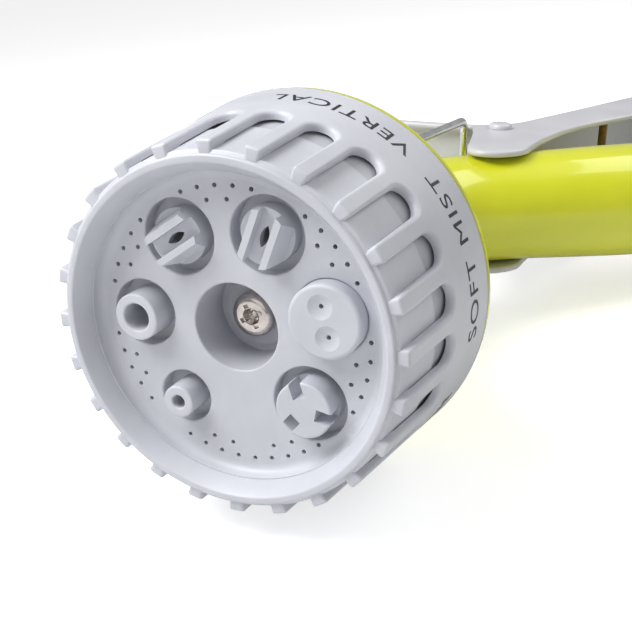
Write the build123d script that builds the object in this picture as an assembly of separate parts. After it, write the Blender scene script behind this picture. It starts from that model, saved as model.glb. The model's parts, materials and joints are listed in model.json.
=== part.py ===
from build123d import *
import math
import os

# Hose spray nozzle with a seven-pattern dial and a rear trigger.
# Row frame: origin at the centre of the hose inlet's mouth, +Z up the handle,
# sprays towards -Y and upwards, X across. Millimetres.

# ---- overall layout ----
AXIS_HEIGHT = 130.0        # inlet mouth to the crossing of handle axis and dial axis
FACE_REACH = 80.5          # crossing to the dial face, along the dial axis
HEAD_TILT = 37.0           # dial axis above the horizontal
BEND_RADIUS = 40.0

# ---- fits ----
RUN_GAP = 0.08             # radial clearance of a turning or sliding fit
SEAT_GAP = 0.05            # clearance between pieces seated in each other
TURN_GAP = 0.4             # space between pieces that move past each other

# ---- dial cover ----
COVER_BACK_R = 35.7
COVER_DRAFT = 3.6            # how much narrower the front is
COVER_FRONT_R = COVER_BACK_R - COVER_DRAFT
COVER_FRONT_Z = 5.1
COVER_BACK_Z = -28.1
COVER_WALL = 1.45             # also the depth of the grip slots
LIP_R = 28.45
LIP_WALL = 1.5
LIP_Z = 5.7
LIP_STEP = 0.3               # the slot floors start this far below the front of the ribs
RIM_R = 26.8               # where the lip's slope meets the nozzle plate
RIM_Z = 2.4
SLOT_COUNT = 24
SLOT_WIDTH = 5.4
SLOT_END_Z = -12.5
SLOT_START = 10.9          # angle of the first slot's centre
COVER_EDGE_ROUND = 0.7

# ---- nozzle plate and manifold ----
PLATE_SOCKET_R = 27.3        # inside of the plate's skirt, where the manifold fits
PLATE_THICK = 3.0
PLATE_SKIRT_Z = -8.0
WELL_R = 7.72
WELL_WALL = 1.5
WELL_FLOOR_Z = -9.5
WELL_FLOOR_THICK = 1.5
TIP_FLANGE_THICK = 2.8
TIP_FLANGE_EDGE = 0.9
MANIFOLD_BACK_Z = -16.0
MANIFOLD_INSET = 0.35        # manifold rim below the slot floors
DRUM_GAP = 1.0              # space between the turning manifold and the drum of the handle
PORT_R = 2.2
TIP_CIRCLE_R = 17.68
TIP_HEIGHT = 2.9
OUTER_HOLES_R = 24.0
INNER_HOLES_R = 21.72
SHOWER_HOLE_R = 0.4
DISH_ROUND = 1.6
FACE_EDGE_ROUND = 0.3
SHOWER_STEP = 7.87
SHOWER_INNER_OFF = 4.9
DETENT_CIRCLE_R = 22.3
BALL_R = 1.5

# ---- pattern positions on the dial, degrees from the selected one ----
JET_WIDE_AT, JET_FINE_AT, SHOWER_AT, CONE_AT = 0.0, 55.0, 97.5, 140.0
MIST_AT, VERTICAL_AT, FLAT_AT = 195.0, 250.0, 305.0
PATTERNS = [JET_WIDE_AT, JET_FINE_AT, SHOWER_AT, CONE_AT, MIST_AT, VERTICAL_AT, FLAT_AT]
GROUP_CENTRES = [27.5, 167.5, 222.5, 277.5, 332.5]
WIDE_GROUP_CENTRE = 97.5
WIDE_INNER_OFF = 15.4

# ---- spray tips ----
WIDE_RECESS_R, WIDE_OUT_R, WIDE_BORE_R = 5.95, 4.15, 2.45
FINE_RECESS_R, FINE_OUT_R, FINE_BORE_R = 4.8, 2.9, 1.2
FAN_RECESS_R, FAN_POST_R, FAN_BLADE, FAN_GROOVE = 6.55, 4.8, 1.15, 3.0
FAN_EYE_L, FAN_EYE_W = 3.9, 1.5
FAN_BLADE_HIGH, FAN_FLANK_HIGH, FAN_FLANK_TILT = 2.1, 3.6, 18.0
TIP_POCKET_Z = -0.6          # how far the water chamber reaches into a tip
TUBE_RIM_ROUND, CONE_RIM_ROUND, MIST_RIM_ROUND = 0.35, 0.4, 0.7
CONE_SLOT_DEPTH, CONE_POCKET_Z = 4.2, -1.4
NOTCH_LENGTH, NOTCH_WIDTH, NOTCH_SKEW = 1.4, 0.8, 30.0
CONE_RECESS_R, CONE_POST_R, CONE_SLOT_W, CONE_SLOT_L = 6.6, 4.95, 2.2, 2.8
MIST_R, MIST_SPREAD, MIST_HOLE_R = 6.3, 5.2, 0.4
MIST_DISH_R, MIST_DISH_LIFT = 4.0, 3.4
SWIRL_R, SWIRL_THICK = 2.5, 1.4

# ---- hub, seal, screw ----
HUB_R = 24.5
HUB_BACK_Z = -23.9
HUB_JOURNAL_R = 8.0
SPINDLE_R = 4.0
SPINDLE_PROUD = 0.1         # the spindle stands this far above the well's floor
DETENT_FLOOR = 1.5
SEAL_R = 4.3
SEAL_LENGTH = 2.6
SOCKET_END_Z = -21.4
CHANNEL_WIDTH = 6.0
SEAL_WIRE_R = 0.35
DETENT_WIRE_R = 0.2
DETENT_GROOVE = 0.9         # depth of the ring groove that the ball runs in
BALL_PROUD = 0.7
SCREW_HEAD_R = 4.0
SCREW_HEAD_TOP_Z = -5.5
SCREW_HEAD_ROUND = 1.4
SCREW_SHANK_R = 1.9
SCREW_END_Z = -19.5
WASHER_R = 6.2
WASHER_THICK = 0.8
CROSS_WIDTH = 0.9
CROSS_SPAN = 4.6
CROSS_DEPTH = 2.2
CROSS_ARM_DEPTH = 1.3
CROSS_TURN = 30.0
HUB_RING_R = 0.9

# ---- handle shell ----
FLANGE_R = COVER_BACK_R - 0.2
FLANGE_THICK = 1.5
FLANGE_EDGE = 0.5
DRUM_R = 27.5
NECK_R = 12.8
NECK_BORE_R = NECK_R - 2.5
HANDLE_R = 14.2
HANDLE_END_Z = 18.0
HANDLE_BORE_R = HANDLE_R - 3.0
HANDLE_FOOT_FLARE = 0.4     # the handle is this much wider at its lower end
HANDLE_STRAIGHT_TO = 85.0   # drop at which the handle starts to narrow
HANDLE_NARROW_AT = 52.0
HANDLE_NARROW_OVER = 0.9
BELL_DEPTH = 9.0            # the bell behind the dial: how deep and how wide its middle is
BELL_MIDDLE_R = 19.0
BELL_SHOULDER = 2.2
LUG_WIDTH = 16.0
LUG_R = 4.4
LUG_ROOT = 8.0              # reach at which the lug grows out of the handle
LUG_SLOPE = 4.0
CLIP_EAR_R = 4.0
CLIP_EAR_SPAN = 2 * (HANDLE_R + 0.3)

# ---- valve ----
VALVE_DROP = 70.0          # axis crossing down to the valve stem
CAGE_HALF_LENGTH = 11.0
CHAMBER_R = 6.0
CHAMBER_FRONT_Y = 2.4 - HANDLE_BORE_R
SEAT_Y = 4.0
SEAT_WEB = 1.6
SEAT_HOLE_R = 3.6
REAR_CHAMBER_Y = HANDLE_BORE_R - 2.2
REAR_CHAMBER_R = CHAMBER_R - 0.8
INLET_PORT_LENGTH = 7.0     # openings of the cage along Y and across X
OUTLET_PORT_WIDTH = 9.0
STEM_R = 2.0
POPPET_R = 5.2
POPPET_THICK = 2.9
STEM_FLANGE_R = 4.3
EYE_WALL = 0.8
EYE_PLAY = 0.9              # the pin rises and falls this much in the stem's eye
STEM_FLANGE_THICK = 1.3
VALVE_WIRE_R = 0.35
BOSS_R = 6.5
BOSS_END_Y = HANDLE_R + 2.3
GLAND_BORE_R = 4.0
GLAND_FLOOR_Y = BOSS_END_Y - 2.5
NUT_FLATS = 11.0
NUT_THICK = 3.0
GLAND_RING_R = 0.85

# ---- trigger: side places are (drop below the crossing, reach behind the handle axis) ----
PIVOT = (35.0, 22.0)
CROSS_PIN = (VALVE_DROP, 31.0)
CROSS_PIN_R = 1.15
LEVER_HALF_TOP = HANDLE_R + 0.8
LEVER_HALF_END = LEVER_HALF_TOP + 2.0
LEVER_CHEEK = 1.6
LEVER_WEB = 2.2
LEVER_WEB_REACH = 1.08 * LEVER_WEB   # the web's thickness measured along the reach
LEVER_FRONT = [(17.2, 0.3), (18.9, -4.8), (24.0, -6.6), (30.0, -4.7), (34.6, 0.6), (40.3, 6.8),
               (50.1, 15.6), (62.6, 23.0), (77.4, 29.0), (95.0, 38.5), (111.0, 49.5)]
LEVER_REAR = [(118.0, 63.5), (108.0, 63.3), (96.0, 59.6), (83.0, 52.6), (69.0, 44.8),
              (56.0, 37.6), (45.0, 31.4), (37.0, 29.2), (32.5, 30.2)]
LEVER_FLARE_FROM = 45.0
LEVER_FLARE_TO = 105.0
TAIL_KNEE = (28.8, 32.6)
TAIL_END = (13.5, 42.5)
TAIL_WIDTH = 2 * (LEVER_HALF_TOP - 0.2)
TAIL_THICK = 2.4
RIVET_R = 1.9
RIVET_HEAD_R = 3.0
RIVET_HEAD_HIGH = 1.4

# ---- lock clip ----
CLIP_PIVOT = (3.0, 0.0)
CLIP_BAR = (27.0, 27.0)
CLIP_WIRE_R = 1.1
CLIP_HALF = LEVER_HALF_TOP + 1.5
CLIP_BEND = 3.0
CLIP_EYE_DEPTH = 3.0

# ---- hose inlet: 3/4 inch garden hose thread ----
INLET_R = 12.35
INLET_DEPTH = 10.0
WASHER_SEAT_R = 12.9
WASHER_SEAT_DEPTH = 3.0
COLLAR_R = 17.0
COLLAR_RIBS = 18
COLLAR_SPIGOT_TOP = 30.0
COLLAR_PASSAGE_R = 8.5
HOSE_WASHER_THICK = 2.8
HOSE_WASHER_IN_R = 8.0
SCREEN_THICK = 0.6
SCREEN_HOLE_R = 0.55
SCREEN_PITCH = 1.9

tilt = math.radians(HEAD_TILT)
head = Plane(
    origin=(0, -FACE_REACH * math.cos(tilt), AXIS_HEIGHT + FACE_REACH * math.sin(tilt)),
    x_dir=(0, math.sin(tilt), math.cos(tilt)),
    z_dir=(0, -math.cos(tilt), math.sin(tilt)),
).location
valve_height = AXIS_HEIGHT - VALVE_DROP


def spot(angle, radius, z=0.0):
    """A place on the dial: angle from the selected position, radius, height above the face."""
    return Location((radius * math.cos(math.radians(angle)), radius * math.sin(math.radians(angle)), z),
                    (0, 0, angle))


def rod(radius, low, high):
    """Cylinder about Z between two heights."""
    return Pos(0, 0, (low + high) / 2) * Cylinder(radius, high - low)


def tube(outer, inner, low, high):
    """Hollow cylinder about Z."""
    return rod(outer, low, high) - rod(inner, low - 1, high + 1)


def turned(points):
    """Solid turned about Z from an outline of (radius, height) points."""
    return revolve(make_face(Polyline(*[(r, 0, z) for r, z in points], close=True)), Axis.Z)


def circles(solid, z, radius):
    """The circular edges of one radius at one height."""
    return [e for e in solid.edges().filter_by(GeomType.CIRCLE)
            if abs(e.center().Z - z) < 0.01 and abs(e.radius - radius) < 0.01]


def along_y(solid, height=0.0):
    """Lay a solid made about Z along Y, its heights becoming Y places."""
    return Pos(0, 0, height) * Rot(-90, 0, 0) * solid


def along_x(solid, place):
    """Lay a solid made about Z along X, through a (drop, reach) place."""
    return Pos(0, place[1], AXIS_HEIGHT - place[0]) * Rot(0, 90, 0) * solid


def side_point(place):
    """The point of a (drop, reach) place in the plane of symmetry."""
    return (0, place[1], AXIS_HEIGHT - place[0])


def side_plate(places, width):
    """Plate of a side outline of (drop, reach) places, centred across X."""
    outline = make_face(Polyline(*[side_point(p) for p in places], close=True))
    return extrude(outline, width / 2, dir=(1, 0, 0), both=True)


def spring(radius, wire, low, high, turns):
    """Compression spring about Z that fills the space between two heights."""
    run = high - low - 2 * wire
    coil = Pos(0, 0, low + wire) * Helix(run / turns, run, radius)
    return sweep(Plane(coil @ 0, z_dir=coil % 0) * Circle(wire), coil, is_frenet=True)


def save(name, solid):
    """Write one node."""
    export_step(solid, f"parts/{name}.step")


# ---------------------------------------------------------------- dial

def cover_radius(z):
    share = (COVER_FRONT_Z - z) / (COVER_FRONT_Z - COVER_BACK_Z)
    return COVER_FRONT_R + (COVER_BACK_R - COVER_FRONT_R) * share


def panel_radius(z):
    """Cone of the slot floors, just inside the cover's bore."""
    return cover_radius(z) - COVER_WALL - 3 * SEAT_GAP


def dial_cover():
    lip_out = LIP_R + LIP_WALL
    shell = turned([
        (cover_radius(RIM_Z) - COVER_WALL, RIM_Z), (lip_out, RIM_Z), (lip_out, COVER_FRONT_Z),
        (COVER_FRONT_R, COVER_FRONT_Z), (COVER_BACK_R, COVER_BACK_Z),
        (COVER_BACK_R - COVER_WALL, COVER_BACK_Z),
    ])
    front = shell.edges().filter_by(GeomType.CIRCLE).sort_by(SortBy.RADIUS)
    front = [e for e in front if abs(e.center().Z - COVER_FRONT_Z) < 0.01 and e.radius > lip_out + 0.1]
    shell = fillet(front, COVER_EDGE_ROUND)
    reach = COVER_BACK_R - LIP_R + SLOT_WIDTH
    end_r = SLOT_WIDTH / 2
    low = SLOT_END_Z + end_r
    middle = LIP_R + reach / 2
    cutter = Pos(middle, 0, (low + LIP_Z + 3) / 2) * Box(reach, SLOT_WIDTH, LIP_Z + 3 - low)
    cutter += Pos(middle, 0, low) * Rot(0, 90, 0) * Cylinder(end_r, reach)
    slots = [Rot(0, 0, SLOT_START + 360 / SLOT_COUNT * k) * cutter for k in range(SLOT_COUNT)]
    shell = shell - slots
    lip = turned([
        (LIP_R, LIP_Z), (lip_out, LIP_Z), (lip_out, COVER_FRONT_Z),
        (panel_radius(COVER_FRONT_Z), COVER_FRONT_Z - LIP_STEP), (panel_radius(RIM_Z), RIM_Z), (RIM_R, RIM_Z),
    ])
    lip = fillet(lip.edges().filter_by(GeomType.CIRCLE).group_by(Axis.Z)[-1], LIP_WALL * 0.3)
    return shell + lip


def recesses():
    """Openings of the face plate for the spray tips: (angle, radius)."""
    return [(JET_WIDE_AT, WIDE_RECESS_R), (JET_FINE_AT, FINE_RECESS_R), (CONE_AT, CONE_RECESS_R),
            (MIST_AT, MIST_R + SEAT_GAP), (VERTICAL_AT, FAN_RECESS_R), (FLAT_AT, FAN_RECESS_R)]


def shower_places():
    """(angle, radius) of every shower hole."""
    places = []
    for centre in GROUP_CENTRES:
        places += [(centre + SHOWER_STEP * k, OUTER_HOLES_R) for k in range(-2, 3)]
        places += [(centre + SHOWER_INNER_OFF * s, INNER_HOLES_R) for s in (-1, 1)]
    places += [(WIDE_GROUP_CENTRE + SHOWER_STEP * k, OUTER_HOLES_R) for k in range(-4, 5)]
    for side in (-1, 1):
        for s in (-1, 1):
            places.append((WIDE_GROUP_CENTRE + side * WIDE_INNER_OFF + s * SHOWER_INNER_OFF, INNER_HOLES_R))
    return places


def nozzle_plate():
    well_back = WELL_FLOOR_Z - WELL_FLOOR_THICK
    rim_in = RIM_R - 2 * SEAT_GAP
    plate = turned([
        (0, 0), (rim_in, 0), (rim_in, RIM_Z - SEAT_GAP), (panel_radius(RIM_Z), RIM_Z - SEAT_GAP),
        (panel_radius(PLATE_SKIRT_Z), PLATE_SKIRT_Z), (PLATE_SOCKET_R, PLATE_SKIRT_Z),
        (PLATE_SOCKET_R, -PLATE_THICK), (0, -PLATE_THICK),
    ])
    plate = fillet(circles(plate, 0, rim_in), DISH_ROUND)
    plate += rod(WELL_R + WELL_WALL, well_back, -PLATE_THICK + 0.5)
    plate -= rod(WELL_R, WELL_FLOOR_Z, 1)
    plate -= rod(SPINDLE_R + RUN_GAP, well_back - 1, 0)
    for angle, radius in recesses():
        plate -= spot(angle, TIP_CIRCLE_R) * rod(radius, -PLATE_THICK - 1, 1)
    plate = fillet([e for e in plate.edges().filter_by(GeomType.CIRCLE)
                    if abs(e.center().Z) < 0.01 and e.radius < RIM_R / 2], FACE_EDGE_ROUND)
    holes = [spot(a, r) * rod(SHOWER_HOLE_R, -PLATE_THICK - 1, 1) for a, r in shower_places()]
    return plate - holes


def dial_manifold():
    front = -PLATE_THICK - TIP_FLANGE_THICK - 2 * SEAT_GAP
    well_back = WELL_FLOOR_Z - WELL_FLOOR_THICK
    rim_z = PLATE_SKIRT_Z - SEAT_GAP
    disc = turned([
        (0, front), (PLATE_SOCKET_R - SEAT_GAP, front), (PLATE_SOCKET_R - SEAT_GAP, rim_z),
        (panel_radius(rim_z) - MANIFOLD_INSET, rim_z),
        (panel_radius(MANIFOLD_BACK_Z) - MANIFOLD_INSET, MANIFOLD_BACK_Z),
        (0, MANIFOLD_BACK_Z),
    ])
    disc -= rod(WELL_R + WELL_WALL + SEAT_GAP, well_back - SEAT_GAP, 0)
    disc -= rod(HUB_JOURNAL_R + RUN_GAP, MANIFOLD_BACK_Z - 1, 0)
    for angle in PATTERNS:
        disc -= spot(angle, TIP_CIRCLE_R) * rod(PORT_R, MANIFOLD_BACK_Z - 1, 0)
        disc -= spot(180 + angle, DETENT_CIRCLE_R, MANIFOLD_BACK_Z) * Sphere(BALL_R)
    groove = rod(DETENT_CIRCLE_R + BALL_R, MANIFOLD_BACK_Z - 1, MANIFOLD_BACK_Z + DETENT_GROOVE)
    groove -= rod(DETENT_CIRCLE_R - BALL_R, MANIFOLD_BACK_Z - 2, MANIFOLD_BACK_Z + 1)
    return disc - groove


def tip_base(opening_r, bore_r):
    """The flange that holds a tip behind the face plate, with its water chamber."""
    back = -PLATE_THICK - TIP_FLANGE_THICK - SEAT_GAP
    flange = rod(opening_r + TIP_FLANGE_EDGE, back, -PLATE_THICK - SEAT_GAP)
    return flange - rod(bore_r, back - 1, 0)


def tube_tip(opening_r, out_r, bore_r):
    """Round jet: a plain tube on its flange."""
    base = tip_base(opening_r, bore_r)
    post = tube(out_r, bore_r, -PLATE_THICK - SEAT_GAP, TIP_HEIGHT)
    rim = post.edges().filter_by(GeomType.CIRCLE).group_by(Axis.Z)[-1]
    return base + fillet(rim, TUBE_RIM_ROUND)


def fan_tip(turn):
    """Flat fan: a round post with two blades beside a groove, and a cat's-eye orifice."""
    chamber_r = FAN_GROOVE / 2
    base = tip_base(FAN_RECESS_R, chamber_r)
    post = rod(FAN_POST_R, -PLATE_THICK - SEAT_GAP, TIP_HEIGHT)
    post -= Pos(0, 0, TIP_HEIGHT) * Box(4 * FAN_POST_R, FAN_GROOVE, 2 * FAN_BLADE_HIGH)
    outer = FAN_GROOVE / 2 + FAN_BLADE
    for side in (-1, 1):
        flank = Pos(0, side * outer, TIP_HEIGHT) * Rot(side * FAN_FLANK_TILT, 0, 0)
        flank *= Pos(0, side * FAN_POST_R, 0)
        post -= flank * Box(4 * FAN_POST_R, 2 * FAN_POST_R, 2 * FAN_FLANK_HIGH)
    post -= rod(chamber_r, -PLATE_THICK - 1, TIP_POCKET_Z)
    lens_r = (FAN_EYE_L ** 2 + FAN_EYE_W ** 2) / (4 * FAN_EYE_W)
    shift = lens_r - FAN_EYE_W / 2
    post -= Pos(0, shift, 0) * Cylinder(lens_r, 6) & Pos(0, -shift, 0) * Cylinder(lens_r, 6)
    return Rot(0, 0, turn) * (base + post)


def cone_tip():
    base = tip_base(CONE_RECESS_R, SWIRL_R + SEAT_GAP)
    post = rod(CONE_POST_R, -PLATE_THICK - SEAT_GAP, TIP_HEIGHT)
    post = fillet(post.edges().filter_by(GeomType.CIRCLE).group_by(Axis.Z)[-1], CONE_RIM_ROUND)
    for k in range(3):
        cut = Pos(CONE_POST_R - CONE_SLOT_L / 2 + 0.5, 0, TIP_HEIGHT)
        cut *= Box(CONE_SLOT_L + 1, CONE_SLOT_W, 2 * CONE_SLOT_DEPTH)
        post -= Rot(0, 0, 30 + 120 * k) * cut
    post -= rod(SWIRL_R + SEAT_GAP, -PLATE_THICK - 1, CONE_POCKET_Z)
    return base + post


def mist_tip():
    base = tip_base(MIST_R, SWIRL_R + SEAT_GAP)
    post = rod(MIST_R, -PLATE_THICK - SEAT_GAP, TIP_HEIGHT)
    post = fillet(post.edges().filter_by(GeomType.CIRCLE).group_by(Axis.Z)[-1], MIST_RIM_ROUND)
    post -= rod(SWIRL_R + SEAT_GAP, -PLATE_THICK - 1, TIP_POCKET_Z)
    for side in (-1, 1):
        dish = Pos(0, side * MIST_SPREAD / 2, TIP_HEIGHT + MIST_DISH_LIFT) * Sphere(MIST_DISH_R)
        post -= dish
        post -= Pos(0, side * MIST_SPREAD / 2, 0) * rod(MIST_HOLE_R, -1.0, TIP_HEIGHT)
    post -= Pos(0, 0, TIP_POCKET_Z) * Box(2 * MIST_HOLE_R, MIST_SPREAD + 2 * MIST_HOLE_R, 1.0)
    return base + post


def swirl():
    """Disc with three skew channels that makes the water spin."""
    back = -PLATE_THICK - TIP_FLANGE_THICK
    disc = rod(SWIRL_R, back, back + SWIRL_THICK)
    for k in range(3):
        notch = Pos(SWIRL_R, 0, back + SWIRL_THICK / 2) * Rot(NOTCH_SKEW, 0, 0)
        notch *= Box(NOTCH_LENGTH, NOTCH_WIDTH, 3 * SWIRL_THICK)
        disc -= Rot(0, 0, 120 * k) * notch
    return disc


# ---------------------------------------------------------------- hub and its small pieces

def hub_insert():
    front = MANIFOLD_BACK_Z - TURN_GAP
    journal_front = WELL_FLOOR_Z - WELL_FLOOR_THICK - TURN_GAP
    hub = rod(HUB_R, HUB_BACK_Z, front)
    hub += rod(HUB_JOURNAL_R, front - 1, journal_front)
    hub += rod(SPINDLE_R, front - 1, WELL_FLOOR_Z + SPINDLE_PROUD)
    hub -= rod(SCREW_SHANK_R + SEAT_GAP, SCREW_END_Z - 0.4, 0)
    hub -= spot(0, TIP_CIRCLE_R) * rod(SEAL_R + RUN_GAP, SOCKET_END_Z, 0)
    channel = Pos(TIP_CIRCLE_R / 2, 0, (HUB_BACK_Z + SOCKET_END_Z) / 2 - 0.5)
    hub -= channel * Box(TIP_CIRCLE_R + CHANNEL_WIDTH, CHANNEL_WIDTH, SOCKET_END_Z - HUB_BACK_Z + 1.2)
    hub -= spot(180, DETENT_CIRCLE_R) * rod(BALL_R + RUN_GAP, HUB_BACK_Z + DETENT_FLOOR, 0)
    groove_z = hub_ring_z()
    hub -= tube(HUB_JOURNAL_R + 1, HUB_JOURNAL_R - 2 * HUB_RING_R - SEAT_GAP,
                groove_z - HUB_RING_R - SEAT_GAP, groove_z + HUB_RING_R + SEAT_GAP)
    return hub


def hub_ring_z():
    return (MANIFOLD_BACK_Z + WELL_FLOOR_Z - WELL_FLOOR_THICK) / 2


def dial_screw():
    seat = WELL_FLOOR_Z + SPINDLE_PROUD + SEAT_GAP + WASHER_THICK + SEAT_GAP
    body = rod(SCREW_HEAD_R, seat, SCREW_HEAD_TOP_Z)
    body = fillet(body.edges().filter_by(GeomType.CIRCLE).group_by(Axis.Z)[-1], SCREW_HEAD_ROUND)
    body += rod(SCREW_SHANK_R, SCREW_END_Z, seat + 0.5)
    for turn in (CROSS_TURN, CROSS_TURN + 90):
        arm = Box(CROSS_SPAN, CROSS_WIDTH, 2 * CROSS_ARM_DEPTH)
        body -= Rot(0, 0, turn) * Pos(0, 0, SCREW_HEAD_TOP_Z) * arm
    return body - Pos(0, 0, SCREW_HEAD_TOP_Z - CROSS_DEPTH / 2) * Cone(0.3, CROSS_SPAN * 0.34, CROSS_DEPTH)


# ---------------------------------------------------------------- handle shell

def handle_outside():
    flange_front = COVER_BACK_Z - TURN_GAP
    flange_back = flange_front - FLANGE_THICK
    lead = BEND_RADIUS * math.tan(math.radians(90 - HEAD_TILT) / 2)
    neck_end = -(FACE_REACH - lead)
    drum_front = MANIFOLD_BACK_Z - DRUM_GAP
    corners = [(FLANGE_R - FLANGE_EDGE, flange_back), (0, neck_end), (0, drum_front), (DRUM_R, drum_front),
               (DRUM_R, flange_front), (FLANGE_R, flange_front), (FLANGE_R, flange_back + FLANGE_EDGE)]
    bell = [corners[0], (DRUM_R, flange_back - BELL_SHOULDER), (BELL_MIDDLE_R, flange_back - BELL_DEPTH),
            (NECK_R, neck_end)]
    at = [(r, 0, z) for r, z in corners]
    outline = Spline(*[(r, 0, z) for r, z in bell], tangents=[(-1, 0, -0.1), (0, 0, -1)])
    outline += Line((NECK_R, 0, neck_end), at[1]) + Polyline(*at[1:]) + Line(at[-1], at[0])
    neck = revolve(make_face(outline), Axis.Z)
    top = AXIS_HEIGHT - lead
    bend = sweep(Plane((0, 0, top), z_dir=(0, 0, 1)) * Circle(NECK_R), side_bend(top))
    foot_r = HANDLE_R + HANDLE_FOOT_FLARE
    side = Spline((foot_r, 0, HANDLE_END_Z), (HANDLE_R, 0, AXIS_HEIGHT - HANDLE_STRAIGHT_TO),
                  (NECK_R + HANDLE_NARROW_OVER, 0, AXIS_HEIGHT - HANDLE_NARROW_AT), (NECK_R, 0, top),
                  tangents=[(0, 0, 1), (0, 0, 1)])
    core = Polyline((NECK_R, 0, top), (0, 0, top), (0, 0, HANDLE_END_Z), (foot_r, 0, HANDLE_END_Z))
    grip = revolve(make_face(side + core), Axis.Z)
    return head * neck + bend + grip


def side_bend(top):
    """Arc from the top of the straight handle to the neck, in the plane of symmetry."""
    turn = math.radians(90 - HEAD_TILT)
    centre = (0, -BEND_RADIUS, top)
    middle = (0, centre[1] + BEND_RADIUS * math.cos(turn / 2), top + BEND_RADIUS * math.sin(turn / 2))
    end = (0, centre[1] + BEND_RADIUS * math.cos(turn), top + BEND_RADIUS * math.sin(turn))
    return ThreePointArc((0, 0, top), middle, end)


def handle_shell():
    lead = BEND_RADIUS * math.tan(math.radians(90 - HEAD_TILT) / 2)
    top = AXIS_HEIGHT - lead
    shell = handle_outside()
    top_of_lug, foot_of_lug = PIVOT[0] - LUG_R, PIVOT[0] + LUG_R
    block = [(top_of_lug, LUG_ROOT), (top_of_lug, PIVOT[1]), (foot_of_lug, PIVOT[1]),
             (foot_of_lug + LUG_SLOPE, LUG_ROOT)]
    shell += side_plate(block, LUG_WIDTH) + along_x(Cylinder(LUG_R, LUG_WIDTH), PIVOT)
    shell += along_x(Cylinder(CLIP_EAR_R, CLIP_EAR_SPAN), CLIP_PIVOT)
    shell += along_y(rod(BOSS_R, 6, BOSS_END_Y), valve_height)
    # waterway: neck, bend, handle
    shell -= head * rod(HUB_R + SEAT_GAP, HUB_BACK_Z - SEAT_GAP, 0)
    shell -= head * rod(NECK_BORE_R, -(FACE_REACH - lead), 0)
    shell -= sweep(Plane((0, 0, top), z_dir=(0, 0, 1)) * Circle(NECK_BORE_R), side_bend(top))
    shell -= rod(NECK_BORE_R, valve_height, top)
    shell -= rod(HANDLE_BORE_R, 0, valve_height + CAGE_HALF_LENGTH + SEAT_GAP)
    # gland, pivot and clip holes
    shell -= along_y(rod(STEM_R + 0.6, 5, BOSS_END_Y + 1), valve_height)
    shell -= along_y(rod(GLAND_BORE_R, GLAND_FLOOR_Y, BOSS_END_Y + 1), valve_height)
    shell -= along_x(Cylinder(RIVET_R + SEAT_GAP, LUG_WIDTH + 2), PIVOT)
    for side in (-1, 1):
        eye = Pos(side * (CLIP_EAR_SPAN / 2 - CLIP_EYE_DEPTH / 2 + 0.5), 0, 0)
        shell -= eye * along_x(Cylinder(CLIP_WIRE_R + RUN_GAP, CLIP_EYE_DEPTH + 1), CLIP_PIVOT)
    return shell


# ---------------------------------------------------------------- valve

def valve_cage():
    cage = Pos(0, 0, valve_height) * Cylinder(HANDLE_BORE_R - SEAT_GAP, 2 * CAGE_HALF_LENGTH)
    cage -= along_y(rod(CHAMBER_R, CHAMBER_FRONT_Y, SEAT_Y), valve_height)
    cage -= along_y(rod(SEAT_HOLE_R, SEAT_Y - 1, SEAT_Y + SEAT_WEB + 1), valve_height)
    cage -= along_y(rod(REAR_CHAMBER_R, SEAT_Y + SEAT_WEB, REAR_CHAMBER_Y), valve_height)
    cage -= along_y(rod(STEM_R + RUN_GAP, 0, HANDLE_BORE_R + 1), valve_height)
    inlet = Pos(0, (CHAMBER_FRONT_Y + SEAT_Y) / 2, valve_height - CAGE_HALF_LENGTH / 2 - 1)
    cage -= inlet * Box(2 * SEAT_HOLE_R, INLET_PORT_LENGTH, CAGE_HALF_LENGTH + 2)
    outlet_y = (SEAT_Y + SEAT_WEB + REAR_CHAMBER_Y) / 2
    cage -= Pos(0, outlet_y, valve_height + CAGE_HALF_LENGTH / 2 + 1) * Box(
        OUTLET_PORT_WIDTH, REAR_CHAMBER_Y - SEAT_Y - SEAT_WEB, CAGE_HALF_LENGTH + 2)
    return cage


def poppet_front():
    return SEAT_Y - SEAT_GAP - POPPET_THICK


def valve_stem():
    flange_front = poppet_front() - SEAT_GAP - STEM_FLANGE_THICK
    eye_r = STEM_R + EYE_WALL
    stem = rod(STEM_R, flange_front, CROSS_PIN[1])
    stem += rod(STEM_FLANGE_R, flange_front, flange_front + STEM_FLANGE_THICK)
    stem = along_y(stem, valve_height)
    eye = Pos(0, CROSS_PIN[1], valve_height)
    stem += eye * Box(2 * STEM_R, 2 * eye_r, 2 * (eye_r + EYE_WALL))
    # upright slot: the pin rises and falls a little as the trigger swings
    slot_r = CROSS_PIN_R + RUN_GAP
    stem -= eye * Pos(0, 0, -EYE_PLAY / 2) * Box(4 * STEM_R, 2 * slot_r, EYE_PLAY)
    for low in (0, -EYE_PLAY):
        stem -= eye * Pos(0, 0, low) * Rot(0, 90, 0) * Cylinder(slot_r, 4 * STEM_R)
    return stem


def gland_nut():
    hexagon = extrude(RegularPolygon(NUT_FLATS / 2, 6, major_radius=False), NUT_THICK)
    nut = Pos(0, 0, BOSS_END_Y + SEAT_GAP) * hexagon
    nut += rod(GLAND_BORE_R - SEAT_GAP, BOSS_END_Y - 0.7, BOSS_END_Y + 0.5)
    nut -= rod(STEM_R + RUN_GAP, 0, BOSS_END_Y + NUT_THICK + 1)
    return along_y(nut, valve_height)


# ---------------------------------------------------------------- trigger and clip

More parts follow.
